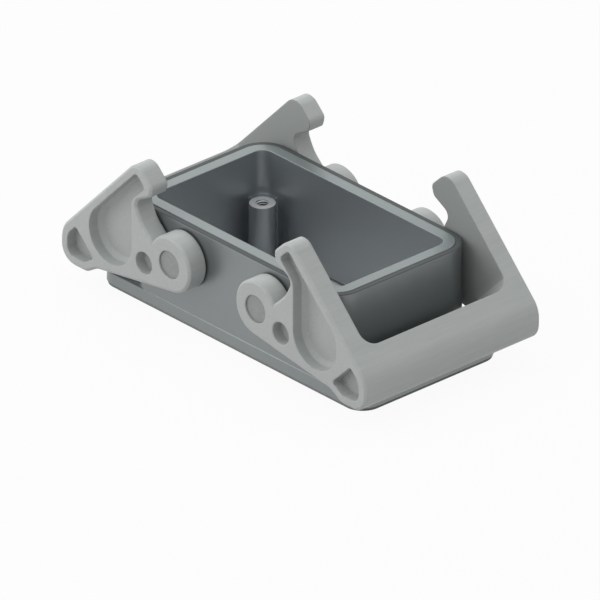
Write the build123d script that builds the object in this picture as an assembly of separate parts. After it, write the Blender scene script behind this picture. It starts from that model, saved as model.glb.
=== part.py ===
from build123d import *
from math import acos, atan2, cos, degrees, dist, hypot, radians, sin, tan
import os

# Bulkhead housing of a heavy duty rectangular connector, with two locking levers.
# Millimetres. The origin is the centre of the underside and +Z points up.
# The long sides face -Y and +Y, and one lever swings over each short end.

# Rim that the mating hood lands on
rim_length = 73.0
rim_width = 43.0
rim_band = 3.0
rim_corner = 6.0
total_height = 27.5

# Seal set in a groove round the rim band
seal_width = 1.1
seal_depth = 1.8
seal_fit = 0.02
seal_drop = 0.15
lip_width = 0.4
lip_drop = 0.25

# Cast walls and foot flange
wall_draft = 0.5
flange_ear = 10.06
flange_ledge = 0.46
flange_corner = 5.5
flange_thickness = 3.35
flange_draft = 2.0
flange_edge_chamfer = 0.5

# Flat gasket under the flange
gasket_thickness = 0.8
gasket_margin = 0.3
gasket_inner_margin = 1.0

# Flange fixing holes, for M4 screws, measured in from the ends and sides of the flange
fixing_end_distance = 6.6
fixing_side_distance = 7.5
fixing_hole = 4.5

# Bosses that carry the contact insert, tapped M4, measured in from the cavity walls
boss_wall_distance = 5.0
boss_diameter = 6.6
boss_top_below_rim = 11.5
boss_web_drop = 0.5
boss_tap_drill = 3.3
boss_tap_depth = 11.0

# Lever pivots: pins pressed into blind seats in the long walls
pivot_x = 15.7
pivot_below_rim = 8.9
pin_diameter = 7.2
pin_running_fit = 0.05
pin_seat_fit = 0.01
pin_seat_depth = 2.8
pin_face_recess = 0.4

# Lever, seen from the side as it lies open. Lengths run outwards from the pivot
# and up from it, and slopes are in degrees.
lever_side_gap = 0.3
arm_thickness = 5.4
arm_edge_chamfer = 0.6
hub_radius = 7.45

# Crossbar, which clears the end wall and lies just above the flange
bar_end_gap = 3.06
bar_rest_gap = 0.55
bar_depth = 14.3
bar_height = 9.16
bar_toe_lead = 1.3
bar_toe_length = 3.8
bar_toe_rise = 2.3
bar_toe_round = 4.0
bar_heel_round = 5.0
bar_shoulder_round = 7.0
bar_inner_slope = 44.5
bar_inner_depth = 14.48
bar_corner_fillet = 4.0
bar_wall = 2.5
core_depth = 3.0
core_corner = 0.8

# Hook and the notch that takes the locking peg of the hood
hook_tip = (6.3, 18.4)
hook_slope = 44.0
crown_length = 7.96
hook_chin = (7.1, 15.7)
notch_root = (12.9, 12.6)
notch_waist_bulge = 0.7
notch_mouth_angle = 31.0
crown_round = 3.5
tip_round = 1.8
chin_round = 1.6
notch_round = 2.2
waist_round = 9.0

# Recess in the outer face of each arm
recess_depth = 3.8
recess_wall = 2.25
recess_start = 13.7
recess_bar_gap = 0.36
recess_tip_start = 8.7
recess_knee_height = 12.6
recess_corner = 1.2
recess_knee_round = 4.0
recess_floor_chamfer = 1.1

# Blind hole beside the hub
blind_hole_centre = (9.2, -3.05)
blind_hole_diameter = 5.9
blind_hole_depth = 2.8

# Values that follow from the sizes above
overlap = 1.0
hair = 0.01
pivot_z = total_height - pivot_below_rim
flange_top = gasket_thickness + flange_thickness
cavity_length = rim_length - 2 * rim_band
cavity_width = rim_width - 2 * rim_band
cavity_corner = rim_corner - rim_band
boss_top = total_height - boss_top_below_rim
boss_spacing_x = cavity_length - 2 * boss_wall_distance
boss_spacing_y = cavity_width - 2 * boss_wall_distance
groove_width = seal_width + 2 * seal_fit
groove_floor = total_height - seal_drop - seal_depth
rim_border = groove_width + lip_width
wall_length = rim_length + 2 * rim_border
wall_width = rim_width + 2 * rim_border
wall_corner = rim_corner + rim_border
wall_flare = (total_height - lip_drop - flange_top) * tan(radians(wall_draft))
flange_length = wall_length + 2 * flange_ear
flange_width = wall_width + 2 * flange_ledge
fixing_spacing_x = flange_length - 2 * fixing_end_distance
fixing_spacing_y = flange_width - 2 * fixing_side_distance
seat_floor = wall_width / 2 - pin_seat_depth
arm_inner = wall_width / 2 + wall_flare + lever_side_gap
arm_outer = arm_inner + arm_thickness
bar_throat = wall_length / 2 + wall_flare + bar_end_gap - pivot_x
bar_bottom = pivot_z - flange_top - bar_rest_gap
bar_top = bar_height - bar_bottom
lever_reach = bar_throat + bar_depth
STANDING = (Align.CENTER, Align.CENTER, Align.MIN)
HANGING = (Align.CENTER, Align.CENTER, Align.MAX)


def ring(inner_length, inner_width, inner_corner, band, height):
    """Ring of an even width round a rectangle with rounded corners, standing on Z = 0."""
    outer = RectangleRounded(inner_length + 2 * band, inner_width + 2 * band, inner_corner + band)
    inner = RectangleRounded(inner_length, inner_width, inner_corner)
    return extrude(outer - inner, height)


def four_places(spacing_x, spacing_y):
    """The corners of a rectangle centred on the origin."""
    return [(sx * spacing_x / 2, sy * spacing_y / 2) for sx in (-1, 1) for sy in (-1, 1)]


def make_outer_walls():
    """Cast block from the underside to the lip, widening downwards by the draft."""
    height = total_height - lip_drop - gasket_thickness
    flare = height * tan(radians(wall_draft))
    foot = RectangleRounded(wall_length + 2 * flare, wall_width + 2 * flare, wall_corner + flare)
    return Pos(0, 0, gasket_thickness) * extrude(foot, height, taper=wall_draft)


def make_flange():
    """Foot flange with drafted sides and a chamfered top edge."""
    outline = RectangleRounded(flange_length, flange_width, flange_corner)
    flange = extrude(outline, flange_thickness, taper=flange_draft)
    flange = chamfer(flange.edges().group_by(Axis.Z)[-1], flange_edge_chamfer)
    return Pos(0, 0, gasket_thickness) * flange


def make_rim():
    """Land round the mouth, which stands proud of the lip."""
    return Pos(0, 0, flange_top) * ring(
        cavity_length, cavity_width, cavity_corner, rim_band, total_height - flange_top
    )


def make_boss(x, y):
    """Screw boss for the insert, with the web that joins it to the corner of the walls."""
    height = boss_top - gasket_thickness
    post = Cylinder(boss_diameter / 2, height, align=STANDING)
    reach_x = cavity_length / 2 - abs(x)
    reach_y = cavity_width / 2 - abs(y)
    align_x = Align.MIN if x > 0 else Align.MAX
    align_y = Align.MIN if y > 0 else Align.MAX
    web = Box(reach_x, reach_y, height - boss_web_drop, align=(align_x, align_y, Align.MIN))
    return Pos(x, y, gasket_thickness) * (post + web)


def along_wall(shape, sx, sy, distance):
    """Turn a shape that stands on Z = 0 to point out of a long wall, at a pivot."""
    return Pos(sx * pivot_x, sy * distance, pivot_z) * Rot(-sy * 90, 0, 0) * shape


def make_pin_seats():
    """Blind holes in the long walls that the pivot pins are pressed into."""
    hole = Cylinder(pin_diameter / 2 + pin_seat_fit, pin_seat_depth + overlap, align=STANDING)
    return [along_wall(hole, sx, sy, seat_floor) for sx in (-1, 1) for sy in (-1, 1)]


def make_housing():
    """Die-cast housing, open at the top and the bottom."""
    body = make_outer_walls() + make_flange() + make_rim()
    cavity = RectangleRounded(cavity_length, cavity_width, cavity_corner)
    body -= extrude(cavity, total_height)
    for x, y in four_places(boss_spacing_x, boss_spacing_y):
        body += make_boss(x, y)
        body -= Pos(x, y, boss_top) * Cylinder(boss_tap_drill / 2, boss_tap_depth, align=HANGING)
    for x, y in four_places(fixing_spacing_x, fixing_spacing_y):
        body -= Pos(x, y, 0) * Cylinder(fixing_hole / 2, flange_top + overlap, align=STANDING)
    groove = ring(rim_length, rim_width, rim_corner, groove_width, seal_depth + overlap)
    body -= Pos(0, 0, groove_floor) * groove
    body -= make_pin_seats()
    return body


def make_panel_gasket():
    """Flat gasket that seals the flange to the panel."""
    outer = RectangleRounded(
        flange_length - 2 * gasket_margin,
        flange_width - 2 * gasket_margin,
        flange_corner - gasket_margin,
    )
    window = RectangleRounded(
        cavity_length + 2 * gasket_inner_margin,
        cavity_width + 2 * gasket_inner_margin,
        cavity_corner + gasket_inner_margin,
    )
    gasket = extrude(outer - window, gasket_thickness)
    for x, y in four_places(fixing_spacing_x, fixing_spacing_y):
        gasket -= Pos(x, y, 0) * Cylinder(fixing_hole / 2, gasket_thickness, align=STANDING)
    return gasket


def make_rim_seal():
    """Rubber seal in the groove round the rim."""
    seal = ring(
        rim_length + 2 * seal_fit, rim_width + 2 * seal_fit, rim_corner + seal_fit, seal_width, seal_depth
    )
    return Pos(0, 0, groove_floor) * seal


def make_pivot_pin(sx, sy):
    """Pivot pin from the floor of its seat to just inside the outer face of the hub."""
    length = arm_outer - pin_face_recess - seat_floor
    return along_wall(Cylinder(pin_diameter / 2, length, align=STANDING), sx, sy, seat_floor)


def polar(radius, angle):
    """Point at a radius from the pivot, at an angle in degrees."""
    return (radius * cos(radians(angle)), radius * sin(radians(angle)))


def meet(p, angle_p, q, angle_q):
    """Crossing of two lines, each given by a point and an angle in degrees."""
    ax, az = polar(1, angle_p)
    bx, bz = polar(1, angle_q)
    t = ((q[0] - p[0]) * bz - (q[1] - p[1]) * bx) / (ax * bz - az * bx)
    return (p[0] + t * ax, p[1] + t * az)


def shift(point, distance, angle):
    """Point moved by a distance in a direction in degrees."""
    step = polar(distance, angle)
    return (point[0] + step[0], point[1] + step[1])


def circle_between(a, b, c):
    """Centre and radius of the circle that touches the three sides of a triangle."""
    sides = (dist(b, c), dist(c, a), dist(a, b))
    around = sum(sides)
    centre = tuple(
        sum(side * corner[i] for side, corner in zip(sides, (a, b, c))) / around for i in (0, 1)
    )
    double_area = abs((b[0] - a[0]) * (c[1] - a[1]) - (b[1] - a[1]) * (c[0] - a[0]))
    return centre, double_area / around


def polygon(points, radii):
    """Closed face in the side view, with its own radius at each corner."""
    return make_face(Plane.XZ * FilletPolyline(*points, radius=radii, close=True))


def side_prism(face, y_from, y_to):
    """Prism of a side view face between two places across the lever."""
    return Pos(0, y_to, 0) * extrude(face, y_to - y_from, dir=(0, -1, 0))


def back_line(inset):
    """Point and direction of the lever's back, from crown to crossbar, moved inwards by an inset."""
    crown = shift(hook_tip, crown_length, hook_slope)
    angle = degrees(atan2(bar_top - crown[1], lever_reach - crown[0]))
    return shift(crown, inset, angle - 90), angle


def inner_line(inset):
    """Point on the sloping inner face of the crossbar, moved towards the hub by an inset."""
    return shift((lever_reach, -bar_bottom), bar_inner_depth + inset, bar_inner_slope + 90)


def lever_outline():
    """Side view of a lever arm: hub, hook, sloping back and the bulb of the crossbar."""
    throat = (bar_throat + bar_toe_lead, bar_toe_rise - bar_bottom)
    toe = (throat[0] + bar_toe_length, -bar_bottom)
    heel = (lever_reach, -bar_bottom)
    shoulder = (lever_reach, bar_top)
    crown, _ = back_line(0)
    hub_to_throat = degrees(atan2(throat[1], throat[0]))
    tangent_angle = hub_to_throat - degrees(acos(hub_radius / hypot(*throat)))
    mouth = polar(hub_radius, notch_mouth_angle)
    waist = (
        (notch_root[0] + mouth[0]) / 2 + notch_waist_bulge,
        (notch_root[1] + mouth[1]) / 2 - notch_waist_bulge,
    )
    corners = [
        (polar(hub_radius, tangent_angle), 0),
        (throat, bar_toe_round),
        (toe, bar_toe_round),
        (heel, bar_heel_round),
        (shoulder, bar_shoulder_round),
        (crown, crown_round),
        (hook_tip, tip_round),
        (hook_chin, chin_round),
        (notch_root, notch_round),
        (waist, waist_round),
        (mouth, 0),
        ((0, 0), 0),
    ]
    arm = polygon([point for point, _ in corners], [radius for _, radius in corners])
    return arm + Plane.XZ * Circle(hub_radius)


def window_outline():
    """Side view of the open space between the arms, up to the inner faces of the crossbar."""
    elbow = meet(inner_line(0), bar_inner_slope, (bar_throat, 0), 90)
    far = 3 * lever_reach
    top = shift(elbow, far, bar_inner_slope)
    points = [(-far, -far), (bar_throat, -far), elbow, top, (-far, top[1])]
    return make_face(Plane.XZ * Polyline(*points, close=True))


def make_window():
    """Block that opens the lever between its arms, with rounded corners at the crossbar."""
    block = side_prism(window_outline(), -arm_inner, arm_inner)
    corners = block.edges().filter_by(
        lambda edge: abs(edge.center().Y) > arm_inner - hair and edge.center().X > bar_throat - hair
    )
    return fillet(corners, bar_corner_fillet)


def recess_outline():
    """Side view of the recess: a round foot that tapers into the hook."""
    start = (recess_start, 0)
    end = shift(hook_tip, recess_wall, hook_slope - 90)
    back, back_angle = back_line(recess_wall)
    inner = inner_line(recess_bar_gap)
    foot, foot_radius = circle_between(
        meet(start, 90, back, back_angle),
        meet(back, back_angle, inner, bar_inner_slope),
        meet(inner, bar_inner_slope, start, 90),
    )
    corners = [
        (foot, 0),
        (shift(foot, foot_radius, back_angle + 90), 0),
        (meet(end, hook_slope, back, back_angle), recess_corner),
        (meet(end, hook_slope, (recess_tip_start, 0), 90), recess_corner),
        ((recess_start, recess_knee_height), recess_knee_round),
        ((recess_start, foot[1]), 0),
    ]
    spur = polygon([point for point, _ in corners], [radius for _, radius in corners])
    return spur + Plane.XZ * Pos(*foot) * Circle(foot_radius)


def make_recess():
    """Recess cutter standing on Y = 0, with a sloping foot all round its floor."""
    cutter = side_prism(recess_outline(), -overlap, recess_depth)
    return chamfer(cutter.edges().group_by(Axis.Y)[-1], recess_floor_chamfer)


def core_outline():
    """Side view of the pocket in the end of the crossbar, an even wall inside the section."""
    section = (lever_outline() - window_outline()).faces()[0]
    return offset(offset(section, -bar_wall - core_corner), core_corner)


def cut_arm_details(lever, side):
    """Cut recess, blind hole, pin bore and core pocket into the arm on one side."""
    blind = Plane.XZ * Pos(*blind_hole_centre) * Circle(blind_hole_diameter / 2)
    cutters = make_recess() + side_prism(blind, -overlap, blind_hole_depth)
    cutters += side_prism(core_outline(), -overlap, core_depth)
    bore = Plane.XZ * Circle(pin_diameter / 2 + pin_running_fit)
    cutters += side_prism(bore, -overlap, arm_thickness + overlap)
    cutters = Pos(0, -arm_outer, 0) * cutters
    return lever - (mirror(cutters, Plane.XZ) if side > 0 else cutters)


def make_lever():
    """One-piece moulded lever with its pivot on the Y axis and its crossbar towards +X."""
    lever = side_prism(lever_outline(), -arm_outer, arm_outer)
    outer_edges = lever.edges().filter_by(lambda edge: abs(edge.center().Y) > arm_outer - hair)
    lever = chamfer(outer_edges, arm_edge_chamfer)
    lever -= make_window()
    for side in (-1, 1):
        lever = cut_arm_details(lever, side)
    return lever


def place_lever(sx):
    """Lever at the +X end, or its mirror image at the -X end."""
    lever = Pos(pivot_x, 0, pivot_z) * make_lever()
    return lever if sx > 0 else mirror(lever, Plane.YZ)


def main():
    os.makedirs("parts", exist_ok=True)
    parts = {
        "housing": make_housing(),
        "rim_seal": make_rim_seal(),
        "panel_gasket": make_panel_gasket(),
        "lever_left": place_lever(-1),
        "lever_right": place_lever(1),
    }
    for end, sx in (("left", -1), ("right", 1)):
        for face, sy in (("front", -1), ("rear", 1)):
            parts[f"pivot_pin_{face}_{end}"] = make_pivot_pin(sx, sy)
    for name, shape in parts.items():
        export_step(shape, f"parts/{name}.step")


main()
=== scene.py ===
from math import cos, radians, sin

import bpy
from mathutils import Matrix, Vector


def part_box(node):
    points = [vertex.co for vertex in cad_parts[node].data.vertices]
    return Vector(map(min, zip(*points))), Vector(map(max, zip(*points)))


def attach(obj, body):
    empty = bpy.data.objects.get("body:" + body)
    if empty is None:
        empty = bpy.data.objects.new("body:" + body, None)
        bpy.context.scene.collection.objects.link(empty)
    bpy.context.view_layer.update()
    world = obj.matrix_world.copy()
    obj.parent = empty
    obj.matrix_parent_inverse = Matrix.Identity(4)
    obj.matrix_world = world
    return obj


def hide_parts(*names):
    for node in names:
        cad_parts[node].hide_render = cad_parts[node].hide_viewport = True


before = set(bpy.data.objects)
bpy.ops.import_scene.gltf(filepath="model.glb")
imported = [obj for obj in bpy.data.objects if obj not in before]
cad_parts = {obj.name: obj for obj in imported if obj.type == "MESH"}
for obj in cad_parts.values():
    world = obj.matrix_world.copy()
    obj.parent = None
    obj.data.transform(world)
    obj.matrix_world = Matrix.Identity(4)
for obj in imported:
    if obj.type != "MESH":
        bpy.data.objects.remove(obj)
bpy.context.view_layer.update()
bpy.ops.object.select_all(action="DESELECT")
print("frame loaded:", len(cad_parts), "nodes")

mm = 0.001


# Node helpers

def addNode(tree, kind, place, **settings):
    node = tree.nodes.new(kind)
    node.location = place
    for name, value in settings.items():
        setattr(node, name, value)
    return node


def link(tree, source, output, target, entry):
    tree.links.new(source.outputs[output], target.inputs[entry])


# Shader groups that several finishes share

grainDetail = {"grain": 3.0, "swell": 1.5}
wearBend = (0.995, 0.93)  # cosine between rounded and flat normal, unworn and fully worn
wearBreakup = (0.35, 0.65)  # noise levels between which the wear sets in
squareCosine = 0.9  # a normal nearer to an axis than this counts as square to it


def makeGroup(name, numbers, results):
    group = bpy.data.node_groups.new(name, "ShaderNodeTree")
    for title, value in numbers:
        entry = group.interface.new_socket(title, in_out="INPUT", socket_type="NodeSocketFloat")
        entry.default_value = value
    for title, kind in results:
        group.interface.new_socket(title, in_out="OUTPUT", socket_type=kind)
    start = addNode(group, "NodeGroupInput", (-900, 0))
    end = addNode(group, "NodeGroupOutput", (700, 0))
    return group, start, end


def buildGrain():
    # fine surface grain with a slow swell under it, both drawn out along Y by the stretch
    numbers = [
        ("Grain per metre", 2500.0),
        ("Swell per metre", 250.0),
        ("Swell share", 0.4),
        ("Grain in tone", 0.0),
        ("Stretch along Y", 1.0),
    ]
    results = [("Height", "NodeSocketFloat"), ("Tone", "NodeSocketFloat")]
    group, start, end = makeGroup("surfaceGrain", numbers, results)
    place = addNode(group, "ShaderNodeTexCoord", (-1300, 300))
    drawn = addNode(group, "ShaderNodeMath", (-1300, 0), operation="DIVIDE")
    drawn.inputs[0].default_value = 1.0
    link(group, start, "Stretch along Y", drawn, 1)
    ratio = addNode(group, "ShaderNodeCombineXYZ", (-1100, 0))
    ratio.inputs["X"].default_value = 1.0
    ratio.inputs["Z"].default_value = 1.0
    link(group, drawn, "Value", ratio, "Y")
    spot = addNode(group, "ShaderNodeVectorMath", (-850, 300), operation="MULTIPLY")
    link(group, place, "Object", spot, 0)
    link(group, ratio, "Vector", spot, 1)
    grain = addNode(group, "ShaderNodeTexNoise", (-600, 300))
    swell = addNode(group, "ShaderNodeTexNoise", (-600, 0))
    grain.inputs["Detail"].default_value = grainDetail["grain"]
    swell.inputs["Detail"].default_value = grainDetail["swell"]
    for noise, scale in ((grain, "Grain per metre"), (swell, "Swell per metre")):
        link(group, spot, "Vector", noise, "Vector")
        link(group, start, scale, noise, "Scale")
    blend = addNode(group, "ShaderNodeMix", (-200, 200), data_type="FLOAT")
    link(group, start, "Swell share", blend, "Factor")
    group.links.new(grain.outputs["Fac"], blend.inputs[2])
    group.links.new(swell.outputs["Fac"], blend.inputs[3])
    group.links.new(blend.outputs[0], end.inputs["Height"])
    tone = addNode(group, "ShaderNodeMix", (-200, -100), data_type="FLOAT")
    link(group, start, "Grain in tone", tone, "Factor")
    group.links.new(swell.outputs["Fac"], tone.inputs[2])
    group.links.new(grain.outputs["Fac"], tone.inputs[3])
    group.links.new(tone.outputs[0], end.inputs["Tone"])
    return group


def buildEdgeWear():
    # mask that is 1 on rubbed outer edges, broken up by noise
    numbers = [("Width", 0.0004), ("Breakup per metre", 600.0)]
    group, start, end = makeGroup("edgeWear", numbers, [("Mask", "NodeSocketFloat")])
    rounded = addNode(group, "ShaderNodeBevel", (-600, 200), samples=4)
    link(group, start, "Width", rounded, "Radius")
    flat = addNode(group, "ShaderNodeNewGeometry", (-600, 0))
    compare = addNode(group, "ShaderNodeVectorMath", (-350, 100), operation="DOT_PRODUCT")
    link(group, rounded, "Normal", compare, 0)
    link(group, flat, "Normal", compare, 1)
    bend = addNode(group, "ShaderNodeMapRange", (-100, 100))
    bend.inputs["From Min"].default_value = wearBend[0]
    bend.inputs["From Max"].default_value = wearBend[1]
    group.links.new(compare.outputs["Value"], bend.inputs["Value"])
    place = addNode(group, "ShaderNodeTexCoord", (-600, -250))
    noise = addNode(group, "ShaderNodeTexNoise", (-350, -250))
    link(group, place, "Object", noise, "Vector")
    link(group, start, "Breakup per metre", noise, "Scale")
    breakup = addNode(group, "ShaderNodeMapRange", (-100, -250))
    breakup.inputs["From Min"].default_value = wearBreakup[0]
    breakup.inputs["From Max"].default_value = wearBreakup[1]
    link(group, noise, "Fac", breakup, "Value")
    both = addNode(group, "ShaderNodeMath", (200, 0), operation="MULTIPLY")
    link(group, bend, "Result", both, 0)
    link(group, breakup, "Result", both, 1)
    link(group, both, "Value", end, "Mask")
    return group


def buildTubMask():
    # mask that is 1 inside the four walls of the tub, at any height
    numbers = [("Half length", 0.0335), ("Half width", 0.0185), ("Border", 0.0003)]
    group, start, end = makeGroup("tubMask", numbers, [("Mask", "NodeSocketFloat")])
    place = addNode(group, "ShaderNodeTexCoord", (-700, 200))
    split = addNode(group, "ShaderNodeSeparateXYZ", (-500, 200))
    link(group, place, "Object", split, "Vector")
    both = addNode(group, "ShaderNodeMath", (400, 0), operation="MULTIPLY")
    for i, (axis, half) in enumerate((("X", "Half length"), ("Y", "Half width"))):
        away = addNode(group, "ShaderNodeMath", (-300, 200 - 300 * i), operation="ABSOLUTE")
        link(group, split, axis, away, 0)
        edge = addNode(group, "ShaderNodeMath", (-300, 50 - 300 * i), operation="ADD")
        link(group, start, half, edge, 0)
        link(group, start, "Border", edge, 1)
        within = addNode(group, "ShaderNodeMapRange", (0, 200 - 300 * i))
        link(group, away, "Value", within, "Value")
        link(group, edge, "Value", within, "From Min")
        link(group, start, half, within, "From Max")
        link(group, within, "Result", both, i)
    link(group, both, "Value", end, "Mask")
    return group


def buildFacedTop():
    # mask that is 1 on flat tops at one height: the machined boss tops, and the rim top, which
    # takes a painted sheen
    numbers = [("Height", 0.016), ("Reach", 0.0002)]
    group, start, end = makeGroup("facedTop", numbers, [("Mask", "NodeSocketFloat")])
    place = addNode(group, "ShaderNodeTexCoord", (-700, 200))
    surface = addNode(group, "ShaderNodeNewGeometry", (-700, -200))
    level = addNode(group, "ShaderNodeSeparateXYZ", (-500, 200))
    upright = addNode(group, "ShaderNodeSeparateXYZ", (-500, -200))
    link(group, place, "Object", level, "Vector")
    link(group, surface, "True Normal", upright, "Vector")
    near = addNode(group, "ShaderNodeMath", (-200, 200), operation="COMPARE")
    link(group, level, "Z", near, 0)
    link(group, start, "Height", near, 1)
    link(group, start, "Reach", near, 2)
    flat = addNode(group, "ShaderNodeMath", (-200, -200), operation="GREATER_THAN")
    flat.inputs[1].default_value = squareCosine
    link(group, upright, "Z", flat, 0)
    both = addNode(group, "ShaderNodeMath", (200, 0), operation="MULTIPLY")
    link(group, near, "Value", both, 0)
    link(group, flat, "Value", both, 1)
    link(group, both, "Value", end, "Mask")
    return group


def buildInnerFace():
    # mask that is 1 on the upright faces that look across Y between two arms
    group, start, end = makeGroup("innerFace", [("Half gap", 0.025)], [("Mask", "NodeSocketFloat")])
    place = addNode(group, "ShaderNodeTexCoord", (-700, 200))
    surface = addNode(group, "ShaderNodeNewGeometry", (-700, -200))
    both = addNode(group, "ShaderNodeMath", (300, 0), operation="MULTIPLY")
    tests = ((place, "Object", "LESS_THAN"), (surface, "True Normal", "GREATER_THAN"))
    for i, (source, title, operation) in enumerate(tests):
        split = addNode(group, "ShaderNodeSeparateXYZ", (-500, 200 - 400 * i))
        link(group, source, title, split, "Vector")
        size = addNode(group, "ShaderNodeMath", (-300, 200 - 400 * i), operation="ABSOLUTE")
        link(group, split, "Y", size, 0)
        test = addNode(group, "ShaderNodeMath", (-100, 200 - 400 * i), operation=operation)
        link(group, size, "Value", test, 0)
        if operation == "LESS_THAN":
            link(group, start, "Half gap", test, 1)
        else:
            test.inputs[1].default_value = squareCosine
        link(group, test, "Value", both, i)
    link(group, both, "Value", end, "Mask")
    return group


grainGroup = buildGrain()
wearGroup = buildEdgeWear()
tubGroup = buildTubMask()
facedGroup = buildFacedTop()
innerGroup = buildInnerFace()


def useGroup(tree, group, place, **values):
    node = addNode(tree, "ShaderNodeGroup", place)
    node.node_tree = group
    for name, value in values.items():
        node.inputs[name].default_value = value
    return node


# Finishes

roughSpread = 0.05
bumpStrength = 0.6

castingCoat = {
    "colour": (0.228, 0.246, 0.248),
    "cloudColour": (0.245, 0.263, 0.265),
    "wornColour": (0.25, 0.268, 0.270),
    # painted light: the tub's inner walls take a lighter copy of the coat, standing in for light
    # that the deep tub keeps out
    "insidePaintedLightColour": (0.355, 0.382, 0.400),
    # painted sheen: the rim's top faces take a lighter, bluer copy of the coat
    "rimTopPaintedSheenColour": (0.232, 0.260, 0.262),
    "rimHeight": 0.0274,
    # boss tops: bare machined metal, and painted lighter still, standing in for light their shaded
    # corners lack
    "machinedAndPaintedLightColour": (0.66, 0.66, 0.67),
    "machinedHeight": 0.016,
    "facedMetallic": 0.35,
    "roughness": 0.36,
    "metallic": 0.75,
    "grain": {"Grain per metre": 1800.0, "Swell per metre": 220.0, "Swell share": 0.35},
    "bumpHeight": 0.00005,
    "edgeRound": 0.0003,
    "wear": {"Width": 0.0004, "Breakup per metre": 500.0},
}

leverPlastic = {
    "colour": (0.375, 0.391, 0.384),
    "cloudColour": (0.485, 0.501, 0.494),
    "wornColour": (0.470, 0.482, 0.477),
    # painted shade: the arms' inner faces, between the two arms, take a darker copy of the plastic
    "innerPaintedShadeColour": (0.335, 0.351, 0.345),
    "innerHalfGap": 0.0238,
    "roughness": 0.52,
    "grain": {
        "Grain per metre": 1500.0,
        "Swell per metre": 180.0,
        "Swell share": 0.25,
        "Grain in tone": 0.7,
        "Stretch along Y": 16.0,
    },
    "bumpHeight": 0.00004,
    "edgeRound": 0.0006,
    "wear": {"Width": 0.0005, "Breakup per metre": 700.0},
}

sealRubber = {
    "colour": (0.060, 0.066, 0.068),
    "cloudColour": (0.072, 0.078, 0.080),
    "wornColour": (0.09, 0.10, 0.10),
    "roughness": 0.62,
    "grain": {"Grain per metre": 4000.0, "Swell per metre": 300.0, "Swell share": 0.3},
    "bumpHeight": 0.00003,
    "edgeRound": 0.0003,
    "wear": {"Width": 0.0002, "Breakup per metre": 900.0},
}

gasketSheet = {
    "colour": (0.235, 0.242, 0.242),
    "cloudColour": (0.255, 0.262, 0.262),
    "wornColour": (0.28, 0.29, 0.29),
    "roughness": 0.75,
    "grain": {"Grain per metre": 2600.0, "Swell per metre": 350.0, "Swell share": 0.3},
    "bumpHeight": 0.00005,
    "edgeRound": 0.0002,
    "wear": {"Width": 0.0002, "Breakup per metre": 900.0},
}

pinMetal = {
    "colour": (0.215, 0.226, 0.222),
    "cloudColour": (0.330, 0.345, 0.338),
    "wornColour": (0.40, 0.41, 0.405),
    "roughness": 0.45,
    "metallic": 0.3,
    "grain": {
        "Grain per metre": 1700.0,
        "Swell per metre": 400.0,
        "Swell share": 0.3,
        "Grain in tone": 0.8,
    },
    "bumpHeight": 0.00006,
    "edgeRound": 0.0003,
    "wear": {"Width": 0.0004, "Breakup per metre": 900.0},
}

cutMetal = {
    "colour": (0.86, 0.86, 0.87),
    "cloudColour": (0.90, 0.90, 0.91),
    "wornColour": (0.93, 0.93, 0.94),
    "roughness": 0.30,
    "metallic": 0.7,
    "grain": {"Grain per metre": 6000.0, "Swell per metre": 500.0, "Swell share": 0.3},
    "bumpHeight": 0.00001,
    "edgeRound": 0.0001,
    "wear": {"Width": 0.0001, "Breakup per metre": 900.0},
}


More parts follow.
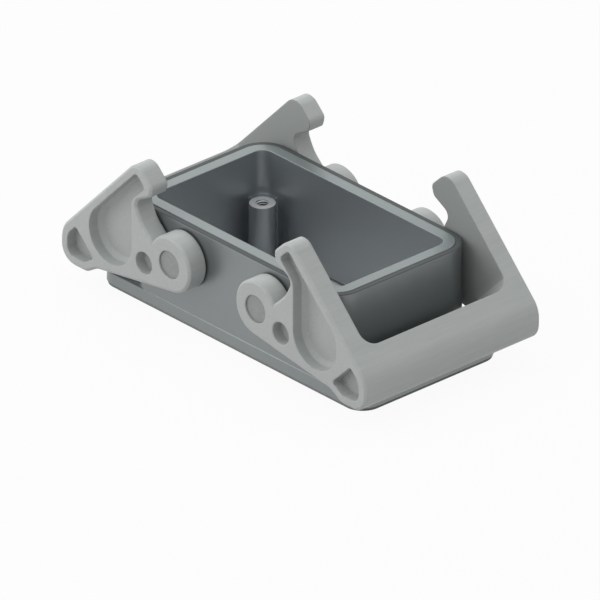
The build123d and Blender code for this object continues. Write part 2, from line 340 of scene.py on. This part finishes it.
def makeFinish(name, look):
    material = bpy.data.materials.new(name)
    material.use_nodes = True
    tree = material.node_tree
    shader = tree.nodes["Principled BSDF"]
    shader.inputs["Metallic"].default_value = look.get("metallic", 0.0)
    grain = useGroup(tree, grainGroup, (-900, 0), **look["grain"])
    wear = useGroup(tree, wearGroup, (-900, 300), **look["wear"])
    clouds = addNode(tree, "ShaderNodeMix", (-600, 200), data_type="RGBA")
    clouds.inputs[6].default_value = (*look["colour"], 1.0)
    clouds.inputs[7].default_value = (*look["cloudColour"], 1.0)
    tree.links.new(grain.outputs["Tone"], clouds.inputs[0])
    rubbed = addNode(tree, "ShaderNodeMix", (-350, 250), data_type="RGBA")
    rubbed.inputs[7].default_value = (*look["wornColour"], 1.0)
    tree.links.new(wear.outputs["Mask"], rubbed.inputs[0])
    tree.links.new(clouds.outputs[2], rubbed.inputs[6])
    tree.links.new(rubbed.outputs[2], shader.inputs["Base Color"])
    # painted shade on the inner faces between the arms
    if "innerPaintedShadeColour" in look:
        inner = useGroup(tree, innerGroup, (-350, 500), **{"Half gap": look["innerHalfGap"]})
        over = addNode(tree, "ShaderNodeMix", (-120, 350), data_type="RGBA")
        over.inputs[7].default_value = (*look["innerPaintedShadeColour"], 1.0)
        tree.links.new(inner.outputs["Mask"], over.inputs[0])
        tree.links.new(rubbed.outputs[2], over.inputs[6])
        tree.links.new(over.outputs[2], shader.inputs["Base Color"])
    if "insidePaintedLightColour" in look:
        bossTops = useGroup(tree, facedGroup, (-350, 700), **{"Height": look["machinedHeight"]})
        rimTop = useGroup(tree, facedGroup, (-350, 900), **{"Height": look["rimHeight"]})
        places = (
            # painted light inside the tub: a lighter copy of the coat on the inner walls
            (useGroup(tree, tubGroup, (-350, 500)), "insidePaintedLightColour"),
            # painted sheen on the rim top
            (rimTop, "rimTopPaintedSheenColour"),
            # machined boss tops, painted lighter as well to stand in for light in their shaded
            # corners
            (bossTops, "machinedAndPaintedLightColour"),
        )
        under = rubbed
        for mask, title in places:
            over = addNode(tree, "ShaderNodeMix", (-120, 350), data_type="RGBA")
            over.inputs[7].default_value = (*look[title], 1.0)
            tree.links.new(mask.outputs["Mask"], over.inputs[0])
            tree.links.new(under.outputs[2], over.inputs[6])
            under = over
        tree.links.new(under.outputs[2], shader.inputs["Base Color"])
        faced = addNode(tree, "ShaderNodeMath", (-120, 900), operation="MAXIMUM")
        link(tree, rimTop, "Mask", faced, 0)
        link(tree, bossTops, "Mask", faced, 1)
        metal = addNode(tree, "ShaderNodeMapRange", (-120, 700))
        metal.inputs["To Min"].default_value = look["metallic"]
        metal.inputs["To Max"].default_value = look["facedMetallic"]
        link(tree, faced, "Value", metal, "Value")
        link(tree, metal, "Result", shader, "Metallic")
    rough = addNode(tree, "ShaderNodeMapRange", (-350, -50))
    rough.inputs["To Min"].default_value = look["roughness"] - roughSpread
    rough.inputs["To Max"].default_value = look["roughness"] + roughSpread
    link(tree, grain, "Tone", rough, "Value")
    link(tree, rough, "Result", shader, "Roughness")
    bump = addNode(tree, "ShaderNodeBump", (-350, -300))
    bump.inputs["Strength"].default_value = bumpStrength
    bump.inputs["Distance"].default_value = look["bumpHeight"]
    link(tree, grain, "Height", bump, "Height")
    soft = addNode(tree, "ShaderNodeBevel", (-600, -450), samples=6)
    soft.inputs["Radius"].default_value = look["edgeRound"]
    link(tree, soft, "Normal", bump, "Normal")
    link(tree, bump, "Normal", shader, "Normal")
    return material


finishes = {
    "housing": makeFinish("castingCoat", castingCoat),
    "lever": makeFinish("leverPlastic", leverPlastic),
    "seal": makeFinish("sealRubber", sealRubber),
    "gasket": makeFinish("gasketSheet", gasketSheet),
    "cut": makeFinish("cutMetal", cutMetal),
    "pin": makeFinish("pinMetal", pinMetal),
}
finishOfNode = {
    "housing": "housing",
    "rim_seal": "seal",
    "panel_gasket": "gasket",
    "lever_left": "lever",
    "lever_right": "lever",
}
for name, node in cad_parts.items():
    node.data.materials.clear()
    node.data.materials.append(finishes[finishOfNode.get(name, "pin")])
print("finishes set")


# Rim seal: a band in the groove, with a flat crown that hides the groove and the lip outside it

rimSeal = {
    "inside": (73.0 * mm, 43.0 * mm),
    "insideCorner": 6.0 * mm,
    "bodyWidth": 1.10 * mm,
    "crownOverhang": 0.44 * mm,
    "bottom": 25.56 * mm,
    "shoulder": 27.25 * mm,
    "top": 27.40 * mm,
    "crownRound": 0.06 * mm,
    "crownSteps": 3,
    "crownAngle": 60,
    "cornerSteps": 12,
    "smoothAngle": 40,
    "fit": 0.02 * mm,
}


def pickFaces(mesh, wanted):
    # select the faces whose centre and normal pass the test, and nothing else
    bpy.ops.mesh.select_all(action="DESELECT")
    bpy.ops.object.mode_set(mode="OBJECT")
    for face in mesh.polygons:
        face.select = wanted(face.center, face.normal)
    bpy.ops.object.mode_set(mode="EDIT")


def makeRimSeal():
    look = rimSeal
    fit = look["fit"]
    width = look["bodyWidth"] + look["crownOverhang"] - fit
    halves = [side / 2 + fit + width for side in look["inside"]]
    bpy.ops.object.select_all(action="DESELECT")
    bpy.ops.mesh.primitive_plane_add(size=2)
    seal = bpy.context.object
    seal.name = "rim_seal_crowned"
    bpy.ops.object.mode_set(mode="EDIT")
    bpy.ops.mesh.select_all(action="SELECT")
    bpy.ops.transform.resize(value=(halves[0], halves[1], 1))
    bpy.ops.transform.translate(value=(0, 0, look["shoulder"]))
    corner = look["insideCorner"] + fit + width
    bpy.ops.mesh.bevel(affect="VERTICES", offset=corner, segments=look["cornerSteps"], profile=0.5)
    bpy.ops.mesh.select_all(action="SELECT")
    bpy.ops.mesh.inset(thickness=width - look["bodyWidth"])
    bpy.ops.mesh.inset(thickness=look["bodyWidth"])
    bpy.ops.mesh.delete(type="FACE")
    bpy.ops.mesh.select_all(action="SELECT")
    crownRise = (0, 0, look["top"] - look["shoulder"])
    bpy.ops.mesh.extrude_region_move(TRANSFORM_OT_translate={"value": crownRise})
    bpy.ops.mesh.select_all(action="SELECT")
    bpy.ops.mesh.normals_make_consistent(inside=False)
    bodyX, bodyY = (side / 2 + fit + look["bodyWidth"] for side in look["inside"])
    bodyCorner = look["insideCorner"] + fit + look["bodyWidth"]

    def underBody(centre, normal):
        # bottom faces of the inner ring only
        dx = max(abs(centre.x) - (bodyX - bodyCorner), 0)
        dy = max(abs(centre.y) - (bodyY - bodyCorner), 0)
        return normal.z < -squareCosine and (dx * dx + dy * dy) ** 0.5 < bodyCorner

    pickFaces(seal.data, underBody)
    bodyDrop = (0, 0, look["bottom"] - look["shoulder"])
    bpy.ops.mesh.extrude_region_move(TRANSFORM_OT_translate={"value": bodyDrop})
    bpy.ops.object.mode_set(mode="OBJECT")
    crown = seal.modifiers.new("crown", "BEVEL")
    crown.width = look["crownRound"]
    crown.segments = look["crownSteps"]
    crown.limit_method = "ANGLE"
    crown.angle_limit = radians(look["crownAngle"])
    bpy.ops.object.modifier_apply(modifier="crown")
    bpy.ops.object.shade_smooth_by_angle(angle=radians(look["smoothAngle"]))
    seal.data.materials.append(finishes["seal"])
    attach(seal, "housing")
    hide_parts("rim_seal")


makeRimSeal()
print("rim seal made")


# Threads tapped in the four insert bosses

bossThread = {
    "pitch": 0.7 * mm,
    "turns": 12,
    "steps": 24,
    "holeRadius": 1.66 * mm,
    "crestRadius": 1.42 * mm,
    "topBelowBoss": 0.15 * mm,
    "bossTop": 16.0 * mm,
    "spacing": (57.0 * mm, 27.0 * mm),
    "smoothAngle": 35,
}


def makeThread(name, x, y):
    # a three-sided ridge wound downwards from the mouth of the hole
    # the triangle is as high as 1.5 of its outer radius, and its middle is a third of that up
    look = bossThread
    depth = look["holeRadius"] - look["crestRadius"]
    bpy.ops.object.select_all(action="DESELECT")
    bpy.ops.mesh.primitive_circle_add(vertices=3, radius=depth / 1.5, fill_type="NGON")
    ridge = bpy.context.object
    ridge.name = name
    bpy.ops.object.mode_set(mode="EDIT")
    bpy.ops.mesh.select_all(action="SELECT")
    bpy.ops.transform.rotate(value=radians(90), orient_axis="X", center_override=(0, 0, 0))
    bpy.ops.transform.rotate(value=radians(-90), orient_axis="Y", center_override=(0, 0, 0))
    bpy.ops.transform.translate(value=(look["holeRadius"] - depth / 3, 0, 0))
    bpy.ops.object.mode_set(mode="OBJECT")
    winding = ridge.modifiers.new("winding", "SCREW")
    winding.axis = "Z"
    winding.angle = radians(360)
    winding.iterations = look["turns"]
    winding.steps = look["steps"]
    winding.render_steps = look["steps"]
    winding.screw_offset = -look["pitch"]
    winding.use_merge_vertices = False
    bpy.ops.object.modifier_apply(modifier="winding")
    bpy.ops.object.mode_set(mode="EDIT")
    bpy.ops.mesh.select_all(action="DESELECT")
    bpy.ops.mesh.select_non_manifold()
    bpy.ops.mesh.fill_holes(sides=4)
    bpy.ops.mesh.select_all(action="SELECT")
    bpy.ops.mesh.normals_make_consistent(inside=False)
    bpy.ops.transform.translate(value=(x, y, look["bossTop"] - look["topBelowBoss"]))
    bpy.ops.object.mode_set(mode="OBJECT")
    bpy.ops.object.shade_smooth_by_angle(angle=radians(look["smoothAngle"]))
    ridge.data.materials.append(finishes["cut"])
    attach(ridge, "housing")


halfX, halfY = (s / 2 for s in bossThread["spacing"])
for name, x, y in (
    ("thread_front_left", -halfX, -halfY),
    ("thread_front_right", halfX, -halfY),
    ("thread_rear_left", -halfX, halfY),
    ("thread_rear_right", halfX, halfY),
):
    makeThread(name, x, y)
print("boss threads made")


# Camera: a long lens at the photograph's angle

photo = {
    "width": 600,
    "azimuth": 47.72,
    "elevation": 27.78,
    "pixelsPerMm": 4.088,
    "rimCentre": (299.8, 217.9),
}
lens = {"length": 1500.0, "sensor": 36.0, "clipEnd": 20.0}


def makeCamera():
    az = radians(photo["azimuth"])
    el = radians(photo["elevation"])
    back = Vector((sin(az) * cos(el), -cos(az) * cos(el), sin(el)))
    right = Vector((cos(az), sin(az), 0.0))
    up = back.cross(right)
    rimTop = Vector((0.0, 0.0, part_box("housing")[1].z))
    perPixel = mm / photo["pixelsPerMm"]
    half = photo["width"] / 2
    target = rimTop + right * (half - photo["rimCentre"][0]) * perPixel
    target -= up * (half - photo["rimCentre"][1]) * perPixel
    distance = photo["width"] * perPixel * lens["length"] / lens["sensor"]
    data = bpy.data.cameras.new("camera")
    data.lens = lens["length"]
    data.sensor_width = lens["sensor"]
    data.clip_end = lens["clipEnd"]
    camera = bpy.data.objects.new("camera", data)
    bpy.context.scene.collection.objects.link(camera)
    camera.location = target + back * distance
    camera.rotation_euler = (-back).to_track_quat("-Z", "Y").to_euler()
    bpy.context.scene.camera = camera


# Floor, lamps and world

floorLook = {
    "size": 6.0,
    "drop": 0.1 * mm,
    "colour": (0.62, 0.62, 0.62),
    "whiteShare": 0.94,
    "underTub": {"Half length": 0.038, "Half width": 0.022},
}
worldLook = {
    "above": {"towards": (0.0, 0.0, 1.0), "colour": (0.98, 1.0, 1.0), "strength": 1.14},
    "behind": {"towards": (0.0, 1.0, 0.0), "colour": (1.0, 1.0, 1.0), "strength": 0.30},
}
lamps = {
    "front": {"place": (-0.35, -0.75, 0.30), "size": 1.2, "watts": 4.5},
    "left": {"place": (-0.80, 0.10, 0.45), "size": 1.2, "watts": 3.6},
}
lampTarget = (0.0, 0.0, 0.02)


def addWhiteSight(tree, place):
    # 1 for what the camera sees directly, in a reflection or through glass
    path = addNode(tree, "ShaderNodeLightPath", place)
    mirrored = addNode(tree, "ShaderNodeMath", (place[0] + 200, place[1]), operation="MAXIMUM")
    link(tree, path, "Is Camera Ray", mirrored, 0)
    link(tree, path, "Is Glossy Ray", mirrored, 1)
    seen = addNode(tree, "ShaderNodeMath", (place[0] + 400, place[1]), operation="MAXIMUM")
    link(tree, mirrored, "Value", seen, 0)
    link(tree, path, "Is Transmission Ray", seen, 1)
    return seen


def makeFloor():
    bpy.ops.mesh.primitive_grid_add(x_subdivisions=4, y_subdivisions=4, size=floorLook["size"])
    floor = bpy.context.object
    floor.name = "floor"
    floor.location.z = -floorLook["drop"]  # just clear of the gasket's underside
    material = bpy.data.materials.new("paleFloor")
    material.use_nodes = True
    tree = material.node_tree
    tree.nodes.clear()
    diffuse = addNode(tree, "ShaderNodeBsdfDiffuse", (-300, 0))
    diffuse.inputs["Color"].default_value = (*floorLook["colour"], 1.0)
    white = addNode(tree, "ShaderNodeEmission", (-300, -150))
    seen = addWhiteSight(tree, (-1100, 200))
    share = addNode(tree, "ShaderNodeMath", (-450, 200), operation="MULTIPLY")
    link(tree, seen, "Value", share, 0)
    tub = useGroup(tree, tubGroup, (-900, 0), **floorLook["underTub"])
    closed = addNode(tree, "ShaderNodeMapRange", (-700, 0))
    closed.inputs["To Min"].default_value = floorLook["whiteShare"]
    closed.inputs["To Max"].default_value = 0.0  # no white through the open bottom of the tub
    link(tree, tub, "Mask", closed, "Value")
    link(tree, closed, "Result", share, 1)
    blend = addNode(tree, "ShaderNodeMixShader", (0, 0))
    link(tree, share, "Value", blend, 0)
    link(tree, diffuse, "BSDF", blend, 1)
    link(tree, white, "Emission", blend, 2)
    result = addNode(tree, "ShaderNodeOutputMaterial", (250, 0))
    link(tree, blend, "Shader", result, "Surface")
    floor.data.materials.append(material)


def makeWorld():
    world = bpy.data.worlds.new("studio")
    bpy.context.scene.world = world
    world.use_nodes = True
    tree = world.node_tree
    tree.nodes.clear()
    place = addNode(tree, "ShaderNodeTexCoord", (-900, 0))
    both = addNode(tree, "ShaderNodeAddShader", (-150, 0))
    for i, look in enumerate(worldLook.values()):
        facing = addNode(tree, "ShaderNodeVectorMath", (-700, -200 * i), operation="DOT_PRODUCT")
        facing.inputs[1].default_value = look["towards"]
        link(tree, place, "Generated", facing, 0)
        level = addNode(tree, "ShaderNodeMapRange", (-520, -200 * i))
        level.inputs["To Max"].default_value = look["strength"]
        link(tree, facing, "Value", level, "Value")
        glow = addNode(tree, "ShaderNodeBackground", (-330, -200 * i))
        glow.inputs["Color"].default_value = (*look["colour"], 1.0)
        link(tree, level, "Result", glow, "Strength")
        tree.links.new(glow.outputs["Background"], both.inputs[i])
    white = addNode(tree, "ShaderNodeBackground", (-150, -200))
    seen = addWhiteSight(tree, (-700, 300))
    blend = addNode(tree, "ShaderNodeMixShader", (0, 0))
    link(tree, seen, "Value", blend, 0)
    link(tree, both, "Shader", blend, 1)
    link(tree, white, "Background", blend, 2)
    result = addNode(tree, "ShaderNodeOutputWorld", (250, 0))
    link(tree, blend, "Shader", result, "Surface")


def makeLamps():
    middle = Vector(lampTarget)
    for name, look in lamps.items():
        data = bpy.data.lights.new(name, "AREA")
        data.size = look["size"]
        data.energy = look["watts"]
        lamp = bpy.data.objects.new(name, data)
        bpy.context.scene.collection.objects.link(lamp)
        lamp.location = Vector(look["place"])
        lamp.rotation_euler = (middle - lamp.location).to_track_quat("-Z", "Y").to_euler()


makeCamera()
makeFloor()
makeWorld()
makeLamps()
bpy.context.scene.view_settings.view_transform = "Standard"
print("camera, floor and lamps ready")
